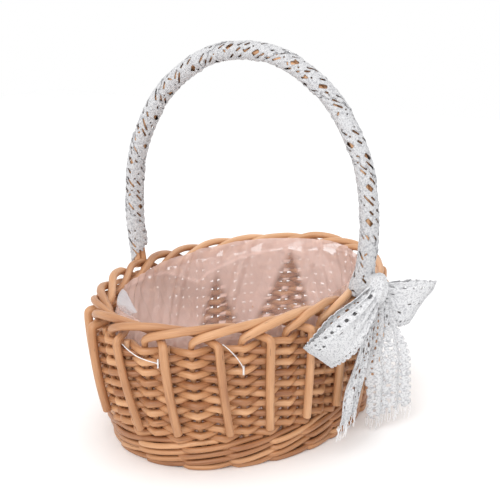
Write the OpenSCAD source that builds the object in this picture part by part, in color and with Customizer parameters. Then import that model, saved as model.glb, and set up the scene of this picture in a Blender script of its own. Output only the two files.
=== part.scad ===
// Oval willow flower basket with a lace-wrapped hoop handle, a lace bow and a film liner.
// Millimetres. +Z is up, the long axis of the oval lies along X, and the origin is at the
// middle of the oval that the basket stands on.

/* [Basket] */
// Half length of the wall's centre line at the rim
rim_half_length = 135; // [128:1:142]
// Half width of the wall's centre line at the rim
rim_half_width = 86; // [83:1:92]
// Half length of the wall's centre line at the foot
foot_half_length = 110; // [104:1:114]
// Half width of the wall's centre line at the foot
foot_half_width = 78.5; // [74:0.5:80]
// Height of the wall under the border
wall_height = 97; // [96:0.5:102]

/* [Willow] */
// Number of border stakes round the rim
stake_count = 22; // [22]
// Thickness of a stake
stake_thickness = 3.2; // [2.8:0.1:3.2]
// Radial thickness of a wall weaver
weaver_thickness = 3.2; // [2.8:0.1:3.2]
// Number of wall weaver rows
weaver_rows = 18; // [18]
// Number of foot wale rows
wale_rows = 4; // [4]
// Length of bare stake end that lies outside the wall
outside_rod_length = 67; // [50:1:68]

/* [Handle] */
// Half span of the hoop where it is widest
hoop_half_span = 97; // [94:0.5:100]
// Height at which the hoop starts to close over
hoop_spring_height = 156; // [150:1:170]
// Rise of the hoop above that height
hoop_rise = 115; // [100:1:120]
// Thickness of one hoop rod
hoop_rod = 4; // [3.5:0.1:4]
// Outer width of the lace wrapping
lace_width = 15; // [14:0.5:16]

/* [Bow] */
// Width of the lace ribbon
ribbon_width = 36; // [30:1:38]
// Thickness of a bow loop, with both of its layers
loop_thickness = 9; // [6:0.5:10]
// Thickness allowed for a gathered lace tail
tail_thickness = 5; // [4:0.5:6]

/* [Liner] */
// Thickness of the liner's solid
liner_thickness = 1; // [0.8:0.1:1.2]
// Number of plastic pins that hold the liner
pin_count = 6; // [4:1:8]

/* [Hidden] */
ROWS = [for (i = [1 : weaver_rows]) str("weaver_row_", i)];
WALES = [for (i = [1 : wale_rows]) str("foot_wale_", i)];

gap = 0.3;                               // clearance between neighbouring rods
willow = "burlywood";
bark = "peru";
lace = "ghostwhite";
first_stake = 3.5;                       // angle of the first stake round the oval
profile_power = 1.8;                     // how early the wall turns upright
stake_pitch = 360 / stake_count;
upright_count = 2 * stake_count;
upright_pitch = 360 / upright_count;
wale_height = 5.4;                       // height of one wale row with its clearance
row_height = 3.85;                          // height of one weaver row with its clearance
rows_bottom = wale_rows * wale_height + 0.4;
slope_room = 0.95;                       // room for the wall's slope within one row
weave_throw = stake_thickness * 0.71 + weaver_thickness / 2 + slope_room;
weave_face = weave_throw + weaver_thickness / 2;
rod_offset = weave_face + gap + stake_thickness / 2;
border_slope_start = 2;                  // outward offset of a border rod where it starts
border_drift = 0.2115;                    // how far it moves inward for each degree along the rim
border_lap = 2;                          // degrees by which it runs past each end
border_span = 2.5;                       // stake pitches that one border rod covers
side_step = 0.15;                        // extra pitches where a border rod clears the handle
border_height = 4.4;
crossing_height = 3.6;
foot_index = 11;                         // upright whose place the handle takes
foot_offset = 4;                         // how far outside the wall's centre the hoop stands
oval_squeeze = 90 / PI * (pow(rim_half_length, 2) - pow(rim_half_width, 2))
    / (2 * (pow(rim_half_length, 2) + pow(rim_half_width, 2)));

// Angle on the oval for an evenly spaced step t round its edge
function oval_angle(t) = t + oval_squeeze * sin(2 * t);
// Share of the way from the foot's size to the rim's size at height z
function flare(z) = 1 - pow(1 - min(max(z / wall_height, 0), 1), profile_power);
function half_length(z) = foot_half_length + (rim_half_length - foot_half_length) * flare(z);
function half_width(z) = foot_half_width + (rim_half_width - foot_half_width) * flare(z);
// Point of the wall at step t and height z, moved outward by off
function wall_point(t, z, off = 0) =
    let (u = oval_angle(t), a = half_length(z), b = half_width(z),
         n = [b * cos(u), a * sin(u)])
    [a * cos(u), b * sin(u)] + n / norm(n) * off;
function upright_step(i) = first_stake + i * upright_pitch;

// Flat oval band between two offsets from the wall's centre line
module band(z, inner, outer, height, points = 72) {
    translate([0, 0, z]) linear_extrude(height) difference() {
        polygon([for (i = [0 : points - 1]) wall_point(i * 360 / points, z + height / 2, outer)]);
        polygon([for (i = [0 : points - 1]) wall_point(i * 360 / points, z + height / 2, inner)]);
    }
}

// Outline of a weaver that passes outside one upright and inside the next
function woven_outline(z, parity, side) = [
    for (i = [0 : upright_count - 1], e = [-0.17, 0.17])
        wall_point(upright_step(i + e), z,
            ((i + parity) % 2 == 0 ? 1 : -1) * weave_throw + side * weaver_thickness / 2)];

module woven_row(z, height, parity) {
    translate([0, 0, z]) linear_extrude(height) difference() {
        polygon(woven_outline(z + height / 2, parity, 1));
        polygon(woven_outline(z + height / 2, parity, -1));
    }
}

// Direction in which the upright at step t leans, and its lean at height z
function lean_vector(t) = let (u = oval_angle(t))
    [(rim_half_length - foot_half_length) * cos(u), (rim_half_width - foot_half_width) * sin(u)];

// Square rod that follows the wall's profile at step t, between two heights
module profile_rod(t, z_low, z_high, off = 0, thickness = stake_thickness, steps = 7) {
    u = oval_angle(t);
    lean = lean_vector(t);
    shift = wall_point(t, wall_height, off) - wall_point(t, wall_height, 0);
    heights = [for (i = [0 : steps]) z_low + (z_high - z_low) * i / steps];
    reach = [for (z = heights) norm(lean) * flare(z)];
    last = len(heights) - 1;
    side = thickness / 2;
    translate([foot_half_length * cos(u) + shift[0], foot_half_width * sin(u) + shift[1], 0])
        rotate([0, 0, atan2(lean[1], lean[0])]) rotate([90, 0, 0])
            translate([0, 0, -side]) linear_extrude(thickness)
                polygon(concat(
                    [for (i = [0 : last]) [reach[i] + side, heights[i]]],
                    [for (i = [last : -1 : 0]) [reach[i] - side, heights[i]]]));
}

// ---- base ----------------------------------------------------------------

module base_cross_sticks() {
    color(willow) for (i = [-3 : 3]) {
        x = i * foot_half_length * 0.2;
        reach = (foot_half_width - weave_face - 3) * sqrt(1 - pow(x / foot_half_length, 2));
        translate([x, 0, 3.4]) rotate([90, 0, 0]) cylinder(d = 4, h = 2 * reach, center = true, $fn = 24);
    }
}

module base_long_sticks() {
    color(willow) for (i = [-1 : 1])
        translate([0, i * 9, 11.6]) rotate([0, 90, 0])
            cylinder(d = 4, h = 2 * (foot_half_length - weave_face - 7), center = true, $fn = 24);
}

// Oval of the base's weave, from the whole base at share 1 down to the long sticks
function base_oval(share) =
    let (a = foot_half_length - weave_face - 1.5, b = foot_half_width - weave_face - 1.5)
    [for (i = [0 : 55]) let (u = i * 360 / 56) [(a - b + b * share) * cos(u), b * share * sin(u)]];

module base_weave() {
    rings = 9;
    color(bark) for (i = [1 : rings])
        translate([0, 0, 5.7]) linear_extrude(3.6) difference() {
            polygon(base_oval((i + 0.85) / (rings + 0.85)));
            polygon(base_oval(i / (rings + 0.85)));
        }
}

module foot_wale(i) {
    z = (i - 1) * wale_height;
    height = wale_height - gap;
    outer = weave_face + (i == wale_rows ? 1.6 : 1);
    color(bark) {
        band(z, stake_thickness * 0.71 + slope_room + 0.4, outer, height);
        band(z, -weave_face, -stake_thickness * 0.71 - slope_room - 0.4, height);
    }
}

// ---- wall ----------------------------------------------------------------

module weaver_row(i) {
    color(i % 2 == 0 ? willow : bark)
        woven_row(rows_bottom + (i - 1) * row_height, row_height - gap, i % 2);
}

// Uprights that stop under the border, except where the handle goes down
module by_stakes() {
    color(willow) for (i = [1 : 2 : upright_count - 1])
        if (i % stake_count != foot_index)
            profile_rod(upright_step(i), 1, wall_height - 5);
}

// One bent stake: up the wall, along the border, back under it and down outside
module border_stake(k) {
    t = upright_step(2 * k);
    clears_handle = (2 * k + 5) % stake_count == foot_index;
    t_end = t + (border_span + (clears_handle ? side_step : 0)) * stake_pitch;
    top = wall_height + border_height;
    steps = 10;
    half = stake_thickness / 2;
    run = t_end - t + 2 * border_lap;
    path = [for (s = [0 : steps]) [t - border_lap + run * s / steps,
        border_slope_start - border_drift * run * s / steps]];
    inner_offset = path[steps][1];
    union() {
        profile_rod(t, 1, wall_height - gap);
        translate([0, 0, wall_height - 1.5]) linear_extrude(2) polygon([
            wall_point(t - 1, wall_height, 0.2), wall_point(t + 1, wall_height, 0.2),
            wall_point(t + 1, wall_height, 2.8), wall_point(t - 1, wall_height, 2.8)]);
        translate([0, 0, wall_height]) linear_extrude(border_height) polygon(concat(
            [for (p = path) wall_point(p[0], wall_height, p[1] + half)],
            [for (i = [steps : -1 : 0]) wall_point(path[i][0], wall_height, path[i][1] - half)]));
        translate([0, 0, wall_height - crossing_height]) linear_extrude(crossing_height + 0.5)
            polygon([wall_point(t_end - 1, wall_height, inner_offset - half),
                     wall_point(t_end + 1, wall_height, inner_offset - half),
                     wall_point(t_end + 1, wall_height, inner_offset + half),
                     wall_point(t_end - 1, wall_height, inner_offset + half)]);
        translate([0, 0, wall_height - crossing_height]) linear_extrude(crossing_height - gap)
            polygon([wall_point(t_end - 1, wall_height, inner_offset - half),
                     wall_point(t_end + 1, wall_height, inner_offset - half),
                     wall_point(t_end + 1, wall_height, rod_offset + half),
                     wall_point(t_end - 1, wall_height, rod_offset + half)]);
        profile_rod(t_end, wall_height - outside_rod_length, wall_height - crossing_height + 1,
            rod_offset);
    }
}

module border_stakes() {
    color(willow) for (k = [0 : stake_count - 1]) border_stake(k);
}

// ---- handle --------------------------------------------------------------

foot_step = upright_step(foot_index);
foot_point = wall_point(foot_step, wall_height);
foot_span = norm(foot_point) + foot_offset + (hoop_rod + gap) / 2;
leg_low = rows_bottom + weaver_rows * row_height;
leg_link = 1.8;                          // height of the jog from the wall out to the hoop
hoop_turn = atan2(foot_point[1], foot_point[0]);
hoop_start = wall_height + border_height + 0.6;

// Half outline of the hoop's centre line: one leg, then the closing quarter
function hoop_half(off, low) = concat(
    [for (i = [0 : 5]) let (z = low + (hoop_spring_height - low) * i / 6,
            s = max((z - wall_height) / (hoop_spring_height - wall_height), 0))
        [foot_span + (hoop_half_span - foot_span) * sin(90 * s) + off, z]],
    [for (a = [0 : 9 : 90]) let (n = [cos(a) * hoop_rise, sin(a) * hoop_half_span])
        [hoop_half_span * cos(a), hoop_spring_height + hoop_rise * sin(a)]
            + n / norm(n) * off]);
function mirrored(points) = concat(points,
    [for (i = [len(points) - 2 : -1 : 0]) [-points[i][0], points[i][1]]]);

// Flat hoop between two offsets, across a thickness centred on side
module hoop(inner, outer, thickness, side, low) {
    outside = mirrored(hoop_half(outer, low));
    inside = mirrored(hoop_half(inner, low));
    rotate([0, 0, hoop_turn]) rotate([90, 0, 0]) translate([0, 0, side - thickness / 2])
        linear_extrude(thickness) polygon(concat(outside,
            [for (i = [len(inside) - 1 : -1 : 0]) inside[i]]));
}

// The hoop's one rod that goes down into the wall, in place of an upright at each side
module handle_core_rod() {
    half = hoop_rod / 2;
    color(willow) union() {
        hoop(-hoop_rod - gap / 2, -gap / 2, hoop_rod, 0, leg_low);
        for (end = [0, 180]) rotate([0, 0, end]) {
            profile_rod(foot_step, 1, leg_low + 1);
            rotate([0, 0, hoop_turn]) translate([norm(foot_point) - 1.2, -half, leg_low])
                cube([foot_offset + 1.5, hoop_rod, leg_link]);
        }
    }
}

module handle_rod_outer() {
    color(willow) hoop(gap / 2, hoop_rod + gap / 2, hoop_rod, 0, hoop_start);
}

module handle_rod_side(side) {
    color(bark) hoop(-hoop_rod / 2, hoop_rod / 2, hoop_rod, side * (hoop_rod + gap), hoop_start);
}

module handle_lace() {
    room = hoop_rod * 1.5 + 2 * gap;
    color(lace) difference() {
        hoop(-lace_width / 2, lace_width / 2, lace_width, 0, hoop_start);
        hoop(-hoop_rod - gap, hoop_rod + gap, 2 * room, 0, hoop_start - 1);
    }
}

// ---- bow -----------------------------------------------------------------

bow_step = foot_step + 179;
bow_place = wall_point(bow_step, wall_height, rod_offset + 10.8);
bow_turn = -1.5;                         // the bow lies along the rim
knot_height = wall_height + 12;

// Puts a child at the knot, with X along the rim and Y towards the basket
module at_bow() {
    translate([bow_place[0], bow_place[1], knot_height]) rotate([0, 0, bow_turn]) children();
}

// Upright plate of gathered lace with the given outline, [along the rim, above the knot]
module lace_plate(outline, thickness, swing = 0) {
    color(lace) at_bow() rotate([0, 0, swing]) rotate([90, 0, 0]) linear_extrude(thickness, center = true)
        polygon(outline);
}

module bow_knot() {
    color(lace) at_bow() hull() for (x = [-4, 4], z = [-5, 5])
        translate([x, 0, z]) sphere(6.5, $fn = 16);
}

// Loop of ribbon: a flat pocket that droops, widens and swings round away from the knot
module bow_loop(side, reach, drop, swing) {
    half = ribbon_width / 2;
    far_edge = [side * drop, reach] / norm([drop, reach]) * half;
    far = [side * reach, -drop];
    near = side * 11.5;
    lace_plate([[near, 10], [near, -10], far - far_edge, far + far_edge],
        loop_thickness, swing);
}

// Hanging end of the ribbon, from under the knot to its cut end
module bow_tail(top, bottom, width, drop) {
    lace_plate([[top - 5, -13], [bottom - width / 2, -drop], [bottom + width / 2, -drop],
        [top + 5, -13]], tail_thickness);
}

// ---- liner and pins --------------------------------------------------------

liner_offset = -weave_face - 3.6;
liner_floor = 14.2;
liner_top = wall_height + 1;
liner_sides = 48;
liner_levels = 5;

function liner_ring(z, off) = [for (i = [0 : liner_sides - 1])
    let (p = wall_point(i * 360 / liner_sides, z, off)) [p[0], p[1], z]];

module liner() {
    outer = [for (i = [0 : liner_levels]) liner_ring(
        liner_floor + (liner_top - liner_floor) * i / liner_levels, liner_offset)];
    inner = [for (i = [0 : liner_levels]) liner_ring(
        liner_floor + liner_thickness + (liner_top - liner_floor - liner_thickness) * i / liner_levels,
        liner_offset - liner_thickness)];
    rings = concat(outer, [for (i = [liner_levels : -1 : 0]) inner[i]]);
    count = len(rings);
    n = liner_sides;
    sides = [for (r = [0 : count - 2], i = [0 : n - 1]) let (j = (i + 1) % n)
        [r * n + i, (r + 1) * n + i, (r + 1) * n + j, r * n + j]];
    bottom = [[for (i = [0 : n - 1]) i]];
    floor_face = [[for (i = [n - 1 : -1 : 0]) (count - 1) * n + i]];
    color("lavender", 0.5) polyhedron(points = [for (r = rings) each r],
        faces = concat(sides, bottom, floor_face));
}

// Fine plastic pins that lie over the weave, just under the border
module tag_pins() {
    color("white") for (i = [0 : pin_count - 1]) {
        t = upright_step(2 * (3 * i + 1 + (i == 3 ? 1 : 0)));
        start = wall_point(t - 2.6, wall_height, weave_face + 1.2);
        end = wall_point(t + 2.6, wall_height, weave_face + 1.2);
        run = end - start;
        translate([start[0], start[1], wall_height - 14])
            rotate([0, 90, atan2(run[1], run[0])]) cylinder(r = 0.5, h = norm(run), $fn = 16);
    }
}

// ---- pieces ----------------------------------------------------------------

base_cross_sticks();
base_long_sticks();
base_weave();
for (i = [1 : wale_rows]) foot_wale(i);
for (i = [1 : weaver_rows]) weaver_row(i);
by_stakes();
border_stakes();
handle_core_rod();
handle_rod_outer();
handle_rod_side(-1);  // handle_rod_left
handle_rod_side(1);  // handle_rod_right
handle_lace();
bow_knot();
bow_loop(-1, 70, 38, -7);  // bow_loop_left
bow_loop(1, 43, 18, -30);  // bow_loop_right
bow_tail(-7, -38, 26, 91);  // bow_tail_left
bow_tail(5, 12, 38, 86);  // bow_tail_right
liner();
tag_pins();
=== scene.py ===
"""Looks of an oval willow flower basket: woven wall, lace-wrapped hoop, bow and film liner."""

import logging
import math
from dataclasses import dataclass, field
from enum import Enum
from typing import ClassVar, Sequence

import bmesh
import bpy
import numpy as np
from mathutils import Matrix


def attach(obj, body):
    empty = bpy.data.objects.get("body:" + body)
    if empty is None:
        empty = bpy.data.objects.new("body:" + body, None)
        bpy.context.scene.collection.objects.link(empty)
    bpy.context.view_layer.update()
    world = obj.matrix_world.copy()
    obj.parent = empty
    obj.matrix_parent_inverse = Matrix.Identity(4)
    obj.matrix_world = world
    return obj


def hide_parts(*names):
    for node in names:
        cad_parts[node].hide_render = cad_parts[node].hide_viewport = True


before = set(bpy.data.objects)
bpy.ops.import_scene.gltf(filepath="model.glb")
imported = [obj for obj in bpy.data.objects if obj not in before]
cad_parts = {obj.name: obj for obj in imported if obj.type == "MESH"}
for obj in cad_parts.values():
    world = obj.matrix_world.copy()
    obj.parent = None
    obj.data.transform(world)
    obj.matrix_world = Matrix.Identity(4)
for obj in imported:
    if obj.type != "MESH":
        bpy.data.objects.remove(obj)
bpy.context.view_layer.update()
LOG = logging.getLogger("basket")
MM = 0.001
SEED = 11
Value = bpy.types.NodeSocket | float
Colour = bpy.types.NodeSocket | Sequence[float]


class Slot(Enum):
    """Material slots of the record."""

    WILLOW = "willow"
    WEAVE = "willow_weave"
    LACE = "lace"
    FILM = "film"
    NYLON = "nylon"


class Side(Enum):
    """Side of the knot on which a part of the bow lies."""

    LEFT = -1
    RIGHT = 1


# ---- small numeric helpers ---------------------------------------------------


def smooth(x: np.ndarray | float) -> np.ndarray | float:
    """Eased step from 0 to 1, flat outside that range."""
    x = np.clip(x, 0.0, 1.0)
    return x * x * (3 - 2 * x)


def unit(v: np.ndarray) -> np.ndarray:
    """Rows of v scaled to length 1."""
    return v / np.linalg.norm(v, axis=-1, keepdims=True)


def wander(x: np.ndarray, seed: float, waves: int = 4) -> np.ndarray:
    """Smooth irregular curve within about -1 to 1.

    Args:
        x: Where to read it; one unit is about one swing.
        seed: Number that picks the curve.
        waves: How many sine waves are added up.

    Returns:
        The curve's value at each x.
    """
    total = np.zeros_like(np.asarray(x, float))
    for k in range(1, waves + 1):
        total += np.sin(x * (0.7 + 0.61 * k) + seed * (3.1 * k + 1.7)) / k
    return total / 1.9


def spline(points: Sequence[Sequence[float]], per_span: int) -> np.ndarray:
    """Smooth curve through points.

    Args:
        points: Points of any dimension.
        per_span: Samples on each span between two points.

    Returns:
        The sampled points, ends included.
    """
    p = np.asarray(points, float)
    p = np.vstack([2 * p[0] - p[1], p, 2 * p[-1] - p[-2]])
    out = []
    for i in range(1, len(p) - 2):
        u = np.linspace(0, 1, per_span, endpoint=False)[:, None]
        a, b, c, d = p[i - 1], p[i], p[i + 1], p[i + 2]
        out.append(0.5 * (2 * b + (c - a) * u + (2 * a - 5 * b + 4 * c - d) * u**2
                          + (3 * b - a - 3 * c + d) * u**3))
    out.append(p[-2][None, :])
    return np.vstack(out)


def pairs(a: np.ndarray, b: np.ndarray) -> np.ndarray:
    """Grid of (a, b) pairs from two arrays that broadcast together."""
    return np.stack(np.broadcast_arrays(a, b), axis=-1)


def show(name: str, data: bpy.types.ID) -> bpy.types.Object:
    """Add an object to the scene.

    Args:
        name: Name of the object.
        data: What it carries, such as a mesh or a lamp.

    Returns:
        The new object, linked to the scene.
    """
    thing = bpy.data.objects.new(name, data)
    bpy.context.scene.collection.objects.link(thing)
    return thing


# ---- finishes ------------------------------------------------------------------


class Shader:
    """A material's node tree, with short calls to add and join nodes."""

    def __init__(self, name: str) -> None:
        """Start a material with only its output node.

        Args:
            name: Name of the material.
        """
        self.material = bpy.data.materials.new(name)
        self.material.use_nodes = True
        self.tree = self.material.node_tree
        self.tree.nodes.clear()
        self.out = self.tree.nodes.new("ShaderNodeOutputMaterial")

    def add(self, kind: str, settings: dict | None = None, **inputs) -> bpy.types.Node:
        """Add a node.

        Args:
            kind: The node's type after "ShaderNode".
            settings: Properties of the node itself.
            inputs: Socket values or links, with underscores for spaces, or i0, i1 by number.

        Returns:
            The new node.
        """
        node = self.tree.nodes.new("ShaderNode" + kind)
        for key, value in (settings or {}).items():
            setattr(node, key, value)
        for key, value in inputs.items():
            socket = (node.inputs[int(key[1:])] if key[0] == "i" and key[1:].isdigit()
                      else node.inputs[key.replace("_", " ")])
            if isinstance(value, bpy.types.NodeSocket):
                self.tree.links.new(value, socket)
            else:
                socket.default_value = value
        return node

    def math(self, operation: str, a: Value, b: Value = 0.0,
             clamp: bool = False) -> bpy.types.NodeSocket:
        """Result of a Math node on a and b."""
        return self.add("Math", {"operation": operation, "use_clamp": clamp}, i0=a, i1=b).outputs[0]

    def noise(self, vector: bpy.types.NodeSocket, scale: float, detail: float = 3.0,
              rough: float = 0.55) -> bpy.types.NodeSocket:
        """Value of a noise texture read at vector."""
        return self.add("TexNoise", None, Vector=vector, Scale=scale, Detail=detail,
                        Roughness=rough).outputs["Fac"]

    def ramp(self, value: Value,
             stops: Sequence[tuple[float, Sequence[float]]]) -> bpy.types.NodeSocket:
        """Colour ramp of value through the given stops.

        Args:
            value: What picks the colour, from 0 to 1.
            stops: Place and colour of each stop.

        Returns:
            Socket with the colour.
        """
        node = self.add("ValToRGB", None, Fac=value)
        elements = node.color_ramp.elements
        while len(elements) < len(stops):
            elements.new(0.5)
        for element, (place, colour) in zip(elements, stops):
            element.position = place
            element.color = (*colour, 1.0)
        return node.outputs["Color"]

    def mix(self, share: Value, a: Colour, b: Colour) -> bpy.types.NodeSocket:
        """Colour a turned towards colour b by share.

        Args:
            share: How much of b is seen, from 0 to 1.
            a: Colour at a share of 0.
            b: Colour at a share of 1.

        Returns:
            Socket with the mixed colour.
        """
        node = self.tree.nodes.new("ShaderNodeMix")
        node.data_type = "RGBA"
        for index, value in ((0, share), (6, a), (7, b)):
            if isinstance(value, bpy.types.NodeSocket):
                self.tree.links.new(value, node.inputs[index])
            else:
                node.inputs[index].default_value = value if index == 0 else (*value, 1.0)
        return node.outputs[2]

    def bump(self, height: Value, strength: float, distance: float) -> bpy.types.NodeSocket:
        """Normal bumped by height."""
        return self.add("Bump", None, Height=height, Strength=strength,
                        Distance=distance).outputs["Normal"]

    def finish(self, **inputs) -> bpy.types.Material:
        """Add the surface shader and return the material.

        Args:
            inputs: Values or links for the surface shader's sockets.

        Returns:
            The finished material.
        """
        surface = self.add("BsdfPrincipled", None, **inputs)
        self.tree.links.new(surface.outputs[0], self.out.inputs["Surface"])
        return self.material


@dataclass(frozen=True)
class WillowFinish:
    """Peeled willow with grain along each rod, patches of darker skin and small scars."""

    name: str
    light: tuple[float, float, float]
    middle: tuple[float, float, float]
    dark: tuple[float, float, float]
    scar: tuple[float, float, float] = (0.10, 0.035, 0.012)
    roughness: float = 0.5

    def build(self) -> bpy.types.Material:
        """Build the material from the rods' own along, around and tint attributes.

        Returns:
            The willow's material.
        """
        s = Shader(self.name)
        along = s.add("Attribute", {"attribute_name": "along"}).outputs["Fac"]
        tint = s.add("Attribute", {"attribute_name": "tint"}).outputs["Fac"]
        around = s.add("Attribute", {"attribute_name": "around"}).outputs["Vector"]
        shifted = s.math("ADD", along, s.math("MULTIPLY", tint, 7.3))
        length_way = s.add("CombineXYZ", None, Z=s.math("MULTIPLY", shifted, 12.0)).outputs[0]
        grain_place = s.add("VectorMath", {"operation": "MULTIPLY_ADD"}, i0=around,
                            i1=(1.7, 1.7, 0.0), i2=length_way).outputs[0]
        patch_place = s.add("VectorMath", {"operation": "MULTIPLY_ADD"}, i0=around,
                            i1=(0.35, 0.35, 0.0), i2=length_way).outputs[0]
        grain = s.noise(grain_place, 3.4, 5.0, 0.62)
        patch = s.noise(patch_place, 2.1, 3.0)
        blotch = s.noise(patch_place, 7.0, 2.0)
        large = s.math("ADD", s.math("MULTIPLY", patch, 0.42), s.math("MULTIPLY", tint, 0.26))
        tone = s.math("ADD", s.math("MULTIPLY", grain, 0.34), large)
        skin = s.ramp(tone, [(0.30, self.dark), (0.50, self.middle), (0.72, self.light)])
        fleck = s.math("MULTIPLY", s.math("SUBTRACT", blotch, 0.69), 14.0, True)
        colour = s.mix(s.math("MULTIPLY", fleck, 0.75), skin, self.scar)
        rough = s.math("ADD", s.math("MULTIPLY", grain, 0.25), self.roughness - 0.12)
        normal = s.bump(s.math("SUBTRACT", grain, s.math("MULTIPLY", fleck, 0.8)), 0.5, 0.25 * MM)
        return s.finish(Base_Color=colour, Roughness=rough, Normal=normal)


@dataclass(frozen=True)
class LaceFinish:
    """White cotton crochet: looped stitches over a fine twisted yarn, with painted shade between
    the stitches.
    """

    name: str = "white_crochet_lace"
    bright: tuple[float, float, float] = (0.78, 0.78, 0.79)
    shade: tuple[float, float, float] = (0.54, 0.54, 0.56)

    def build(self) -> bpy.types.Material:
        """Build the material from the cloth's own map, which is in centimetres.

        Returns:
            The lace's material.
        """
        s = Shader(self.name)
        cloth = s.add("UVMap", {"uv_map": "cloth"}).outputs[0]
        stitch = s.add("TexVoronoi", {"feature": "SMOOTH_F1"}, Vector=cloth, Scale=9.0,
                       Smoothness=0.4).outputs["Distance"]
        yarn = s.add("TexWave", {"bands_direction": "DIAGONAL"}, Vector=cloth, Scale=14.0,
                     Distortion=5.0, Detail=2.0).outputs["Fac"]
        fuzz = s.noise(cloth, 38.0, 3.0)
        fine = s.math("ADD", s.math("MULTIPLY", yarn, 0.35), s.math("MULTIPLY", fuzz, 0.3))
        relief = s.math("ADD", s.math("MULTIPLY", stitch, -0.9), fine)
        # Colour darkens from each stitch's middle towards the gaps between stitches: painted shade.
        colour = s.ramp(s.math("ADD", s.math("MULTIPLY", stitch, -0.8), 0.95),
                        [(0.30, self.shade), (0.62, self.bright)])
        return s.finish(Base_Color=colour, Roughness=0.92, Sheen_Weight=0.25, Sheen_Roughness=0.5,
                        Specular_IOR_Level=0.2, Normal=s.bump(relief, 0.8, 0.5 * MM))


@dataclass(frozen=True)
class FilmFinish:
    """Thin cloudy film: clearer where it is pressed to the weave, white where it doubles."""

    name: str = "clear_liner_film"
    tone: tuple[float, float, float] = (0.98, 0.775, 0.71)

    def build(self) -> bpy.types.Material:
        """Build the material; how cloudy it is comes from the sheet's haze attribute, which also
        carries painted highlights.

        Returns:
            The film's material.
        """
        s = Shader(self.name)
        place = s.add("TexCoord").outputs["Object"]
        haze = s.add("Attribute", {"attribute_name": "haze"}).outputs["Fac"]
        cloud = s.noise(place, 22.0, 3.0)
        crease = s.noise(place, 95.0, 4.0, 0.6)
        alpha = s.math("ADD", haze, s.math("MULTIPLY", s.math("SUBTRACT", cloud, 0.5), 0.22), True)
        return s.finish(Base_Color=(*self.tone, 1.0), Roughness=0.16, IOR=1.5, Alpha=alpha,
                        Coat_Weight=0.7, Coat_Roughness=0.08, Normal=s.bump(crease, 0.6, 1.6 * MM))


@dataclass(frozen=True)
class NylonFinish:
    """Fine clear nylon, milky along its edges."""

    name: str = "clear_nylon"

    def build(self) -> bpy.types.Material:
        """Build the material.

        Returns:
            The nylon's material.
        """
        s = Shader(self.name)
        place = s.add("TexCoord").outputs["Object"]
        streak = s.noise(place, 260.0, 2.0)
        colour = s.ramp(streak, [(0.35, (0.80, 0.80, 0.82)), (0.65, (0.95, 0.95, 0.95))])
        return s.finish(Base_Color=colour, Roughness=0.2, Alpha=0.75,
                        Normal=s.bump(streak, 0.2, 0.1 * MM))


@dataclass(frozen=True)
class Finishes:
    """Every material of the basket, built once."""

    willow: bpy.types.Material
    weave: bpy.types.Material
    lace: bpy.types.Material
    shaded_wound_lace: bpy.types.Material
    film: bpy.types.Material
    shaded_doubled_film: bpy.types.Material
    nylon: bpy.types.Material


def build_finishes() -> Finishes:
    """Build the seven finishes."""
    return Finishes(
        willow=WillowFinish("peeled_willow", (0.72, 0.43, 0.245), (0.555, 0.29, 0.142),
                            (0.34, 0.145, 0.062), roughness=0.44).build(),
        weave=WillowFinish("willow_weaver", (0.70, 0.395, 0.205), (0.485, 0.232, 0.104),
                           (0.25, 0.092, 0.036), roughness=0.40).build(),
        lace=LaceFinish(bright=(0.83, 0.83, 0.84)).build(),
        # The handle's wound lace is a darker copy of the bow's white lace: painted shade on the
        # handle wrap.
        shaded_wound_lace=LaceFinish("wound_crochet_lace_painted_shade", (0.69, 0.69, 0.70), (0.46, 0.46, 0.48)).build(),
        film=FilmFinish().build(),
        # The flap's doubled film is a much darker copy of the film's tone: painted shade on the
        # flap.
        shaded_doubled_film=FilmFinish("doubled_liner_film_painted_shade", (0.46, 0.42, 0.435)).build(),
        nylon=NylonFinish().build(),
    )


# ---- rods ------------------------------------------------------------------------


@dataclass
class Rod:
    """Centre line of one rod, in metres.

    Attributes:
        points: Points along it, shape (n, 3).
        radius: One radius, or one for each point.
        tint: Number from 0, dark, to 1, light.
    """

    points: np.ndarray
    radius: float | np.ndarray
    tint: float


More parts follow.
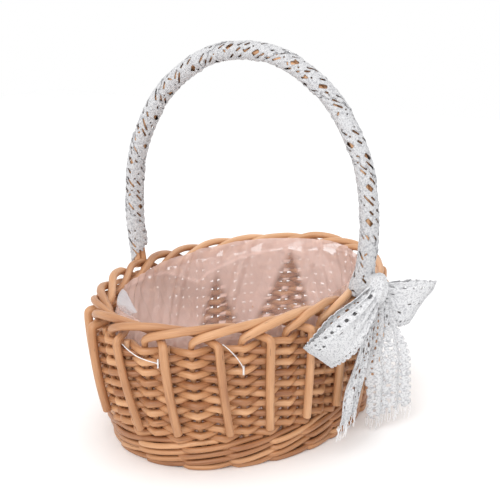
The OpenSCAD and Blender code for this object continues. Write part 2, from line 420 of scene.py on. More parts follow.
class RodMaker:
    """Sweeps round rods along their centre lines with one shared node tree."""

    def __init__(self) -> None:
        """Build the node tree and note its sockets."""
        self.tree = bpy.data.node_groups.new("rods_along_lines", "GeometryNodeTree")
        face = self.tree.interface
        face.new_socket("Lines", in_out="INPUT", socket_type="NodeSocketGeometry")
        self.sides, self.finish = (
            face.new_socket(name, in_out="INPUT", socket_type=kind).identifier
            for name, kind in (("Sides", "NodeSocketInt"), ("Finish", "NodeSocketMaterial")))
        face.new_socket("Rods", in_out="OUTPUT", socket_type="NodeSocketGeometry")
        self._fill()

    def _node(self, kind: str, **settings: object) -> bpy.types.Node:
        """Add one node and set its properties.

        Args:
            kind: Type of the node.
            **settings: Properties of the node by name.

        Returns:
            The new node.
        """
        node = self.tree.nodes.new(kind)
        for key, value in settings.items():
            setattr(node, key, value)
        return node

    def _fill(self) -> None:
        """Lines become curves, and each takes a round section of its own thickness."""
        start, end = self._node("NodeGroupInput"), self._node("NodeGroupOutput")
        curve = self._node("GeometryNodeMeshToCurve")
        circle = self._node("GeometryNodeCurvePrimitiveCircle")
        place = self._node("GeometryNodeInputPosition")
        around = self._node("GeometryNodeStoreNamedAttribute", data_type="FLOAT_VECTOR")
        thickness = self._node("GeometryNodeInputNamedAttribute", data_type="FLOAT")
        sweep = self._node("GeometryNodeCurveToMesh")
        shade = self._node("GeometryNodeSetShadeSmooth")
        realize = self._node("GeometryNodeRealizeInstances")
        dress = self._node("GeometryNodeSetMaterial")
        circle.inputs["Radius"].default_value = 1.0
        around.inputs["Name"].default_value = "around"
        thickness.inputs["Name"].default_value = "thickness"
        sweep.inputs["Fill Caps"].default_value = True
        for giver, output, taker, socket in (
                (start, "Lines", curve, "Mesh"), (start, "Sides", circle, "Resolution"),
                (circle, "Curve", around, "Geometry"), (place, 0, around, "Value"),
                (curve, 0, sweep, "Curve"), (around, 0, sweep, "Profile Curve"),
                (thickness, 0, sweep, "Scale"), (sweep, 0, shade, "Geometry"),
                (shade, 0, realize, "Geometry"), (realize, 0, dress, "Geometry"),
                (start, "Finish", dress, "Material"), (dress, 0, end, "Rods")):
            self.tree.links.new(giver.outputs[output], taker.inputs[socket])

    def make(self, name: str, rods: Sequence[Rod], finish: bpy.types.Material,
             sides: int = 10) -> bpy.types.Object:
        """Sweep rods into one plain mesh object.

        Args:
            name: Name of the new piece.
            rods: Centre lines with their thickness.
            finish: Material of the rods.
            sides: Corners of the round section.

        Returns:
            The new object, with no modifier left on it.
        """
        verts, edges, radius, along, tint = [], [], [], [], []
        for rod in rods:
            first, count = len(verts), len(rod.points)
            step = np.linalg.norm(np.diff(rod.points, axis=0), axis=1)
            along.extend(np.concatenate([[0.0], np.cumsum(step)]))
            radius.extend(np.broadcast_to(rod.radius, count))
            tint.extend([rod.tint] * count)
            verts.extend(map(tuple, rod.points))
            edges.extend((first + i, first + i + 1) for i in range(count - 1))
        lines = bpy.data.meshes.new(name + "_lines")
        lines.from_pydata(verts, edges, [])
        for key, values in (("thickness", radius), ("along", along), ("tint", tint)):
            layer = lines.attributes.new(key, "FLOAT", "POINT")
            layer.data.foreach_set("value", np.asarray(values, np.float32))
        carrier = show(name + "_carrier", lines)
        modifier = carrier.modifiers.new("rods", "NODES")
        modifier.node_group = self.tree
        modifier[self.sides] = sides
        modifier[self.finish] = finish
        graph = bpy.context.evaluated_depsgraph_get()
        mesh = bpy.data.meshes.new_from_object(carrier.evaluated_get(graph), depsgraph=graph)
        bpy.data.objects.remove(carrier)
        bpy.data.meshes.remove(lines)
        mesh.name = name
        mesh.set_sharp_from_angle(angle=math.radians(62))
        return show(name, mesh)


def settle(piece: bpy.types.Object, slot: Slot, *nodes: str) -> bpy.types.Object:
    """Tie a finished piece to the frame.

    Args:
        piece: The finished piece.
        slot: Material slot of the piece; not used.
        nodes: CAD nodes that it stands for.

    Returns:
        The same piece.
    """
    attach(piece, "root")
    if nodes:
        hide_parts(*nodes)
    LOG.info("%s: %d faces, stands for %s", piece.name, len(piece.data.polygons),
             ", ".join(nodes) or "nothing in the frame")
    return piece


# ---- the wall's shape ---------------------------------------------------------------


@dataclass(frozen=True)
class Wall:
    """Shape of the woven wall, as the frame has it, in metres and degrees."""

    rim_half_length: float = 0.135
    rim_half_width: float = 0.086
    foot_half_length: float = 0.110
    foot_half_width: float = 0.0785
    height: float = 0.097
    profile_power: float = 1.8
    stakes: int = 22
    first_stake: float = 3.5
    wale_rows: int = 4
    wale_height: float = 0.0054
    weaver_rows: int = 18
    row_height: float = 0.00385
    stake_radius: float = 0.0020
    foot_index: int = 11

    @property
    def uprights(self) -> int:
        """Number of uprights, stakes and by-stakes together."""
        return 2 * self.stakes

    @property
    def rows_bottom(self) -> float:
        """Height at which the wall's weavers start."""
        return self.wale_rows * self.wale_height + 0.4 * MM

    def step(self, index: np.ndarray | float) -> np.ndarray | float:
        """Step round the oval, in degrees, of an upright's number."""
        return self.first_stake + index * 360.0 / self.uprights

    def point(self, t: np.ndarray, z: np.ndarray, off: np.ndarray | float = 0.0) -> np.ndarray:
        """Points on the wall's centre surface.

        Args:
            t: Steps round the oval, in degrees.
            z: Heights.
            off: Outward offsets.

        Returns:
            Points, shape (n, 3).
        """
        t, z, off = np.broadcast_arrays(np.asarray(t, float), np.asarray(z, float), off)
        a0, b0 = self.rim_half_length, self.rim_half_width
        squeeze = 0.25 * (a0**2 - b0**2) / (a0**2 + b0**2)
        u = np.radians(t) + squeeze * np.sin(2 * np.radians(t))
        w = 1 - (1 - np.clip(z / self.height, 0, 1)) ** self.profile_power
        a = self.foot_half_length + (a0 - self.foot_half_length) * w
        b = self.foot_half_width + (b0 - self.foot_half_width) * w
        out = unit(np.stack([b * np.cos(u), a * np.sin(u)], axis=-1))
        return np.stack([a * np.cos(u) + out[..., 0] * off, b * np.sin(u) + out[..., 1] * off, z],
                        axis=-1)


# ---- willow work ---------------------------------------------------------------------


@dataclass
class WillowWork:
    """Everything woven from willow: base, foot, wall, stakes and border.

    Attributes:
        wall: Shape that the rods follow.
        maker: Sweeps the rods.
        finishes: Materials.
        weaver_radius: Radius of a wall weaver.
        wale_radius: Radius of a foot rod.
        border_radius: Radius of a border stake along the rim.
        outside_radius: Radius of the bare end that lies outside the wall.
        wale_inside: How far inside a foot rod passes, in millimetres.
        wale_outside: How far outside a stroke starts, in millimetres.
        wale_draw_in: How far it draws in along its stroke, in millimetres.
        wale_drop: How far below its row it starts, in millimetres.
        wale_climb: How far it climbs along its stroke, in millimetres.
    """

    wall: Wall
    maker: RodMaker
    finishes: Finishes
    weaver_radius: float = 2.4 * MM
    wale_radius: float = 1.95 * MM
    border_radius: float = 2.85 * MM
    outside_radius: float = 3.0 * MM
    wale_inside: float = 4.6
    wale_outside: float = 6.9
    wale_draw_in: float = 4.4
    wale_drop: float = 3.4
    wale_climb: float = 6.4
    chance: np.random.Generator = field(default_factory=lambda: np.random.default_rng(SEED))
    LEANS: ClassVar[dict[int, float]] = {8: 0.26, 9: 0.10, 10: 0.04}

    def weaver_row(self, row: int) -> Rod:
        """One wall weaver that passes outside one upright and inside the next.

        Args:
            row: Row number from 1 at the bottom.

        Returns:
            The weaver's centre line.
        """
        wall, samples = self.wall, 6
        start = int(self.chance.integers(0, wall.uprights))
        count = (wall.uprights + 1) * samples + 1
        place = start + np.arange(count) / samples
        phase = place - np.floor(place)
        side = np.where((np.floor(place) + row) % 2 == 0, 1.0, -1.0)
        swing = side * (0.80 * (1 - 2 * phase) + 0.20 * np.cos(np.pi * phase))
        firmness = 1 + 0.08 * wander(place * 0.9, row * 1.3)
        off = swing * (wall.stake_radius + self.weaver_radius + 0.15 * MM) * firmness
        run_out = smooth((place - start - wall.uprights) * 1.0)
        off = off - 3.2 * MM * run_out
        z = wall.rows_bottom + (row - 0.5) * wall.row_height
        z = z + 0.42 * MM * wander(place * 0.55, row * 2.7) + 0.25 * MM * wander(place * 2.1, row)
        z = z + 0.55 * MM * (phase - 0.5) * (1 + 0.5 * wander(place * 0.4, row * 1.9))
        taper = 1.09 - 0.17 * (place - start) / wall.uprights
        radius = self.weaver_radius * taper * (1 + 0.05 * wander(place * 1.7, row * 0.77))
        return Rod(wall.point(wall.step(place), z, off), radius, float(self.chance.random()))

    def wall_rows(self) -> None:
        """Make the wall's weaver rows, each a piece of its own."""
        for row in range(1, self.wall.weaver_rows + 1):
            piece = self.maker.make(f"wall_weaver_{row:02d}", [self.weaver_row(row)],
                                    self.finishes.weave)
            settle(piece, Slot.WEAVE, f"weaver_row_{row}")

    def wale_rod(self, row: int, start: int) -> Rod:
        """One of the three rods of a foot row: outside two uprights, then inside one.

        Args:
            row: Row number from 1 at the bottom.
            start: Which of the three rods it is, 0 to 2.

        Returns:
            The rod's centre line.
        """
        wall, samples = self.wall, 10
        first = start + row
        place = first + np.arange((wall.stakes + 1) * samples + 1) / samples
        phase = (place - first + 0.20 * wander(place * 0.8, row * 1.7 + start)) % 3.0
        facing = np.cos(2 * np.pi * (phase - 1.5) / 3)
        outside = smooth((facing + 0.90) / 0.62)
        forward = self.wale_outside - self.wale_draw_in * smooth((phase - 0.7) / 1.6)
        forward = forward + 0.7 * wander(place * 1.7, row + 3.0)
        off = (-self.wale_inside + (self.wale_inside + forward) * outside) * MM
        drop, climb = self.wale_drop, self.wale_climb
        rise = np.where(phase < 2.7, -drop + climb * smooth((phase - 0.15) / 2.5),
                        climb - drop - climb * smooth((phase - 2.7) / 0.3))
        z = (row - 0.5) * wall.wale_height + rise * MM
        z = z + 0.8 * MM * wander(place * 1.1, row + start)
        z = np.maximum(z, self.wale_radius + 0.1 * MM)
        taper = 1.08 - 0.16 * (place - first) / wall.stakes
        step = wall.step(2 * place)
        return Rod(wall.point(step, z, off), self.wale_radius * taper, float(self.chance.random()))

    def foot(self) -> None:
        """Make the foot's rows, in the darker weaver finish as painted shade."""
        for row in range(1, self.wall.wale_rows + 1):
            rods = [self.wale_rod(row, start) for start in range(3)]
            # The foot rods take the darker weaver finish in place of the willow finish: painted
            # shade for the lower light near the floor.
            piece = self.maker.make(f"foot_rods_{row}", rods, self.finishes.weave)
            settle(piece, Slot.WILLOW, f"foot_wale_{row}")

    def by_stakes(self) -> None:
        """Make the uprights that stop under the border."""
        wall, rods = self.wall, []
        for index in range(1, wall.uprights, 2):
            if index % wall.stakes == wall.foot_index:
                continue
            z = np.linspace(20 * MM, wall.height - 4.5 * MM, 20)
            rods.append(Rod(wall.point(wall.step(index), z), wall.stake_radius,
                            float(self.chance.random())))
        piece = self.maker.make("by_stake_rods", rods, self.finishes.willow, sides=9)
        settle(piece, Slot.WILLOW, "by_stakes")

    def border_stake(self, number: int) -> Rod:
        """One stake: up the wall, over the rim to the right, inside, out again and down.

        Args:
            number: Which stake it is, from 0.

        Returns:
            The stake's centre line.
        """
        wall, h = self.wall, self.wall.height
        aside = 0.14 if (2 * number + 5) % wall.stakes == wall.foot_index else 0.0
        lift = 0.8 * MM * self.chance.normal()
        lean = 0.05 * self.chance.normal() + self.LEANS.get(number, 0.0)
        low = 30 * MM + 1.6 * MM * self.chance.normal()
        exit_ = 2.5 + aside
        upright = [(0, 0, z * MM) for z in (2.6, 12, 24, 38, 52, 66, 80, 90)]
        over = [(0.01, 0.7, h - 4 * MM), (0.05, 2.2, h - 0.6 * MM), (0.22, 3.9, h + 2.6 * MM),
                (0.52, 4.4, h + 5.4 * MM + lift), (0.88, 3.2, h + 7.3 * MM + lift),
                (1.24, 0.8, h + 7.6 * MM + lift), (1.58, -2.2, h + 6.6 * MM),
                (1.88, -4.6, h + 4.8 * MM), (2.12, -5.6, h + 2.4 * MM),
                (exit_ - 0.20, -3.6, h - 0.4 * MM), (exit_ - 0.07, 3.4, h - 1.9 * MM),
                (exit_ - 0.01, 8.2, h - 3.0 * MM)]
        down = [(exit_ + lean * s, 9.1, h - 6.5 * MM - s * (h - 6.5 * MM - low))
                for s in np.linspace(0, 1, 8)]
        path = spline([*upright, *over, *down], 5)
        step = wall.step(2 * (number + path[:, 0]))
        points = wall.point(step, np.minimum(path[:, 2], h), path[:, 1] * MM)
        points[:, 2] = path[:, 2]
        share = np.linspace(0, 1, len(path))
        radius = np.interp(share, [0, 0.28, 0.36, 0.6, 0.72, 1],
                           [wall.stake_radius, wall.stake_radius, self.border_radius,
                            self.border_radius, self.outside_radius, self.outside_radius * 0.97])
        return Rod(points, radius * (1 + 0.05 * self.chance.normal()), float(self.chance.random()))

    def border(self) -> None:
        """Make the border stakes, from foot to bare outside end."""
        rods = [self.border_stake(number) for number in range(self.wall.stakes)]
        piece = self.maker.make("border_stake_rods", rods, self.finishes.willow, sides=12)
        settle(piece, Slot.WILLOW, "border_stakes")

    def base(self) -> None:
        """Make the base: sticks both ways, and fine weaving over and under them."""
        wall = self.wall
        inner_a, inner_b = wall.foot_half_length - 9 * MM, wall.foot_half_width - 9 * MM
        long_sticks, cross_sticks = [], []
        for i in (-1, 0, 1):
            x = np.linspace(-1, 1, 24) * (inner_a - 4 * MM)
            long_sticks.append(np.stack([x, np.full(24, i * 9 * MM), np.full(24, 11.4 * MM)], 1))
        for i in range(-3, 4):
            x = i * wall.foot_half_length * 0.2
            reach = inner_b * math.sqrt(1 - (x / wall.foot_half_length) ** 2)
            y = np.linspace(-1, 1, 20) * reach
            cross_sticks.append(np.stack([np.full(20, x), y, np.full(20, 3.6 * MM)], 1))
        for name, lines, node in (("base_long_rods", long_sticks, "base_long_sticks"),
                                  ("base_cross_rods", cross_sticks, "base_cross_sticks")):
            rods = [Rod(line, 2.2 * MM, float(self.chance.random())) for line in lines]
            settle(self.maker.make(name, rods, self.finishes.willow), Slot.WILLOW, node)
        rings = []
        for i in range(1, 20):
            share = i / 19.3
            u = np.linspace(0, 2 * np.pi, 130)
            x = (inner_a - inner_b + inner_b * share) * np.cos(u)
            y = inner_b * share * np.sin(u)
            wave = np.cos(np.pi * (x / (wall.foot_half_length * 0.2) + i)) * np.abs(np.sin(u))
            z = 7.5 * MM + 1.9 * MM * wave
            rings.append(Rod(np.stack([x, y, z], 1), 1.75 * MM, float(self.chance.random())))
        settle(self.maker.make("base_weaving", rings, self.finishes.weave, sides=8),
               Slot.WEAVE, "base_weave")

    def build(self) -> None:
        """Make all of the willow work."""
        self.base()
        self.foot()
        self.wall_rows()
        self.by_stakes()
        self.border()


# ---- cloth ----------------------------------------------------------------------------


@dataclass
class ClothGrid:
    """A rectangular sheet of lace or film laid out as a grid.

    Attributes:
        points: Places of its crossings, shape (rows, columns, 3).
        cut: Map of the flat cloth in metres, shape (rows, columns, 2).
        keep: Which cells are cloth and not hole, shape (rows - 1, columns - 1).
        extra: Named values for each crossing, read by the finish.
    """

    points: np.ndarray
    cut: np.ndarray
    keep: np.ndarray | None = None
    extra: dict[str, np.ndarray] = field(default_factory=dict)

    def make(self, name: str, finish: bpy.types.Material,
             around: bool = False) -> bpy.types.Object:
        """Make the mesh object.

        Args:
            name: Name of the new piece.
            finish: Its material.
            around: Joins the last column to the first.

        Returns:
            The new object.
        """
        rows, cols = self.points.shape[:2]
        last = cols if around else cols - 1
        keep = np.ones((rows - 1, last), bool) if self.keep is None else self.keep
        number = np.arange(rows * cols).reshape(rows, cols)
        i, j = np.nonzero(keep)
        k = (j + 1) % cols
        quads = np.stack([number[i, j], number[i + 1, j], number[i + 1, k], number[i, k]], 1)
        used, quads = np.unique(quads, return_inverse=True)
        quads = quads.reshape(-1, 4)
        mesh = bpy.data.meshes.new(name)
        mesh.from_pydata(self.points.reshape(-1, 3)[used].tolist(), [], quads.tolist())
        flat = self.cut.reshape(-1, 2)[used] * 100
        layer = mesh.uv_layers.new(name="cloth")
        layer.data.foreach_set("uv", flat[quads.reshape(-1)].reshape(-1).astype(np.float32))
        for key, values in self.extra.items():
            attribute = mesh.attributes.new(key, "FLOAT", "POINT")
            attribute.data.foreach_set("value", values.reshape(-1)[used].astype(np.float32))
        mesh.shade_smooth()
        mesh.materials.append(finish)
        return show(name, mesh)


def weld(piece: bpy.types.Object) -> None:
    """Close a sheet's poles and turn its faces outward.

    Args:
        piece: Object whose mesh is changed in place.
    """
    work = bmesh.new()
    work.from_mesh(piece.data)
    bmesh.ops.remove_doubles(work, verts=work.verts, dist=0.01 * MM)
    bmesh.ops.recalc_face_normals(work, faces=work.faces)
    work.to_mesh(piece.data)
    work.free()
    piece.data.shade_smooth()


def thicken(piece: bpy.types.Object, thickness: float, levels: int = 0) -> bpy.types.Object:
    """Give a sheet its thickness, and round its cells.

    Args:
        piece: The sheet.
        thickness: Its thickness in metres.
        levels: Subdivision levels.

    Returns:
        The same piece.
    """
    if levels:
        rounder = piece.modifiers.new("round", "SUBSURF")
        rounder.levels = rounder.render_levels = levels
    wall = piece.modifiers.new("thickness", "SOLIDIFY")
    wall.thickness = thickness
    wall.offset = 0.0
    return piece


@dataclass(frozen=True)
class LacePattern:
    """Holes and edge of the crochet ribbon, on a grid of small cells.

    Attributes:
        width: Width of the ribbon.
        cell: Size of one cell.
    """

    width: float = 36 * MM
    cell: float = 1.2 * MM

    @property
    def columns(self) -> int:
        """Number of cells across the ribbon."""
        return round(self.width / self.cell)

    def keep(self, rows: int, open_net: float = 0.0, seed: int = 3) -> np.ndarray:
        """Which cells of a length of ribbon are cloth.

        Args:
            rows: Number of cells along the ribbon.
            open_net: Share of the middle that is open net, from 0 to 1.
            seed: Seed of the small irregularities.

        Returns:
            True for cloth, shape (rows, columns).
        """
        chance = np.random.default_rng(seed)
        n = self.columns
        i, j = np.meshgrid(np.arange(rows), np.arange(n), indexing="ij")
        ladder = (j == 3) & (i % 4 < 2) & (chance.random(i.shape) < 0.82)
        far_ladder = np.isin(j, (n - 6, n - 5)) & ((i + 1) % 5 < 2)
        far_ladder &= chance.random(i.shape) < 0.8
        scallop = ((j == 0) & (i % 6 >= 4)) | ((j == n - 1) & (i % 5 >= 3))
        middle = (j > 6) & (j < n - 8)
        lane = (j - 8) % 6 == 0
        slit = np.repeat(chance.random((rows // 5 + 2, n)), 5, axis=0)[:rows] < 0.34
        motif = middle & lane & slit & ((i + j) % 5 < 3)
        net = middle & (i % 5 < 3) & ((j + 2 * (i // 5)) % 4 < 2)
        net &= chance.random(i.shape) < open_net
        stray = middle & (chance.random(i.shape) < 0.012)
        return ~(ladder | far_ladder | scallop | motif | net | stray)


@dataclass
class Hoop:
    """Handle: a bundle of willow rods in a spiral wrapping of lace.

    Attributes:
        wall: Shape of the wall that it stands in.
        maker: Sweeps the rods.
        finishes: Materials.
        half_span: Half of the hoop's widest span.
        spring_height: Height at which the legs turn into the arch.
        rise: Height of the arch above that.
        lace_start: Height at which the wrapping starts.
        strip_width: Width of the lace strip.
        strip_pitch: Advance of the strip along the hoop in one turn.
        SLITS: Rows of slits: first cell across, cells wide, period and cells long.
    """

    wall: Wall
    maker: RodMaker
    finishes: Finishes
    half_span: float = 0.097
    spring_height: float = 0.156
    rise: float = 0.115
    lace_start: float = 0.1035
    strip_width: float = 0.036
    strip_pitch: float = 0.050
    SLITS: ClassVar[tuple[tuple[int, int, int, int], ...]] = (
        (2, 1, 7, 4), (4, 1, 8, 5), (7, 2, 11, 4), (10, 1, 6, 3), (12, 1, 7, 5), (15, 1, 7, 4),
        (18, 2, 12, 4), (21, 1, 7, 4))

    def __post_init__(self) -> None:
        """Work out where the hoop's feet stand."""
        foot = self.wall.point(self.wall.step(self.wall.foot_index), self.wall.height)[:2]
        self.foot_reach = float(np.linalg.norm(foot)) + 4 * MM + 2.15 * MM
        self.turn = math.atan2(foot[1], foot[0])
        self.across = np.array([-math.sin(self.turn), math.cos(self.turn), 0.0])
        self.along_span = np.array([math.cos(self.turn), math.sin(self.turn), 0.0])

    def outline(self, low: float, steps: int = 240) -> tuple[np.ndarray, np.ndarray]:
        """Centre line of the hoop in its own plane.

        Args:
            low: Height at which both legs start.
            steps: Number of spans, evenly long.

        Returns:
            Points (span, height), and outward normals.
        """
        h = self.wall.height
        z = np.linspace(low, self.spring_height, 40)
        s = np.clip((z - h) / (self.spring_height - h), 0, 1)
        r = self.foot_reach + (self.half_span - self.foot_reach) * np.sin(0.5 * np.pi * s)
        a = np.linspace(0, np.pi, 160)[1:-1]
        top = np.stack([self.half_span * np.cos(a), self.spring_height + self.rise * np.sin(a)], 1)
        line = np.vstack([np.stack([r, z], 1), top, np.stack([-r, z], 1)[::-1]])
        length = np.concatenate([[0], np.cumsum(np.linalg.norm(np.diff(line, axis=0), axis=1))])
        even = np.linspace(0, length[-1], steps + 1)
        line = np.stack([np.interp(even, length, line[:, k]) for k in (0, 1)], 1)
        tangent = unit(np.gradient(line, axis=0))
        return line, np.stack([tangent[:, 1], -tangent[:, 0]], 1)

    def place(self, flat: np.ndarray, aside: np.ndarray | float = 0.0) -> np.ndarray:
        """Points in space of points in the hoop's plane, moved aside across it.

        Args:
            flat: Points in the hoop's plane.
            aside: Distance across the plane, one for all or one each.

        Returns:
            Points in space.
        """
        aside = np.broadcast_to(aside, flat.shape[:-1])
        space = flat[..., :1] * self.along_span + aside[..., None] * self.across
        return space + flat[..., 1:] * np.array([0.0, 0.0, 1.0])

    def rods(self) -> None:
        """Make the four willow rods of the bundle."""
        bundle = (("core", -2.15, 0.0, "handle_core_rod"), ("outer", 2.15, 0.0, "handle_rod_outer"),
                  ("left", 0.0, -4.3, "handle_rod_left"), ("right", 0.0, 4.3, "handle_rod_right"))
        for k, (name, off, aside, node) in enumerate(bundle):
            low = self.wall.height - 5 * MM if name == "core" else self.lace_start - 3 * MM
            line, normal = self.outline(low)
            wave = 0.35 * MM * wander(np.arange(len(line)) * 0.12, k + 2.0)
            flat = line + normal * (off * MM + wave)[:, None]
            points = self.place(flat, aside * MM + wave)
            if name == "core":
                points = self._into_wall(points)
            rod = Rod(points, 2.7 * MM, 0.35 + 0.15 * k)
            piece = self.maker.make(f"hoop_rod_{name}", [rod], self.finishes.willow)
            settle(piece, Slot.WILLOW, node)

    def _into_wall(self, points: np.ndarray) -> np.ndarray:
        """Lengthen the core rod down into the wall at both feet.

        Args:
            points: Middle line of the core rod.

        Returns:
            The line with a foot added at each end.
        """
        index = self.wall.foot_index
        z = np.linspace(3 * MM, self.wall.height - 12 * MM, 16)
        first = self.wall.point(self.wall.step(index), z)
        second = self.wall.point(self.wall.step(index + self.wall.stakes), z)
        return np.vstack([first, points, second[::-1]])

    def lace(self) -> bpy.types.Object:
        """Wind the lace strip round the bundle.

        Returns:
            The wrapping.
        """
        line, normal = self.outline(self.lace_start, 600)
        total = float(np.sum(np.linalg.norm(np.diff(line, axis=0), axis=1)))
        depth, breadth = 5.9 * MM, 7.5 * MM
        girth = math.pi * (3 * (depth + breadth)
                           - math.sqrt((3 * depth + breadth) * (depth + 3 * breadth)))
        slant = math.atan2(self.strip_pitch, girth)
        cell = 1.5 * MM
        length = (total + self.strip_width * 1.6) / math.sin(slant)
        rows, cols = int(length / cell), round(self.strip_width / cell)
        m = np.arange(rows + 1)[:, None] * cell - self.strip_width
        q = np.arange(cols + 1)[None, :] * cell
        s = m * math.sin(slant) + q * math.cos(slant)
        c = m * math.cos(slant) - q * math.sin(slant)
        angle = -2 * np.pi * c / girth
        share = q / self.strip_width
        lift = 0.8 * MM * smooth(share) + 0.30 * MM * wander(m * 900 + q * 300, 1.0)
        lift = lift + 0.45 * MM * np.sin(q / (4.2 * MM) * 2 * np.pi + 1.5 * wander(m * 120, 4.0))
        lift = lift + 3.6 * MM * smooth((s - total + 20 * MM) / (20 * MM))
        at = np.clip(s / total, 0, 1) * (len(line) - 1)
        low = np.clip(at.astype(int), 0, len(line) - 2)
        part = (at - low)[..., None]
        centre = line[low] * (1 - part) + line[low + 1] * part
        out = unit(normal[low] * (1 - part) + normal[low + 1] * part)
        flat = centre + out * ((depth + lift) * np.cos(angle))[..., None]
        points = self.place(flat, (breadth + lift) * np.sin(angle))
        keep = self._strip_holes(rows, cols)
        mid = 0.25 * (s[:-1, :-1] + s[1:, :-1] + s[:-1, 1:] + s[1:, 1:])
        turned = np.broadcast_to(angle, s.shape)[:-1, :-1]
        bare = 6.5 * MM * (1 - np.cos(turned - math.radians(30)))
        bare = bare + 1.6 * MM * np.random.default_rng(SEED).random(mid.shape)
        keep &= (mid > bare) & (mid < total)
        # The wrapping takes the darker copy of the lace finish: painted shade.
        piece = ClothGrid(points, pairs(m, q), keep).make(
            "handle_lace_strip", self.finishes.shaded_wound_lace)
        thicken(piece, 0.7 * MM, 1)
        settle(piece, Slot.LACE, "handle_lace")
        return piece

    def _strip_holes(self, rows: int, cols: int) -> np.ndarray:
        """Slots and small holes along the wound strip, True where there is cloth.

        Args:
            rows: Number of cells along the strip.
            cols: Number of cells across it.

        Returns:
            Grid of the strip's cells.
        """
        chance = np.random.default_rng(SEED + 1)
        i, j = np.meshgrid(np.arange(rows), np.arange(cols), indexing="ij")
        slots = np.zeros(i.shape, bool)
        for column, wide, period, long in self.SLITS:
            begin = (i + column * 3 + 2 * ((i // period) % 2)) % period
            here = np.repeat(chance.random(rows // period + 2), period)[:rows][:, None] < 0.80
            slots |= (j >= column) & (j < column + wide) & (begin < long) & here
        dots = (j % 4 == 2) & ((i + j // 2) % 4 < 1) & (chance.random(i.shape) < 0.16)
        scallop = ((j == 0) & (i % 4 >= 2)) | ((j == cols - 1) & (i % 5 >= 3))
        return ~(slots | dots | scallop)

    def build(self) -> None:
        """Make the rods and their wrapping."""
        self.rods()
        self.lace()


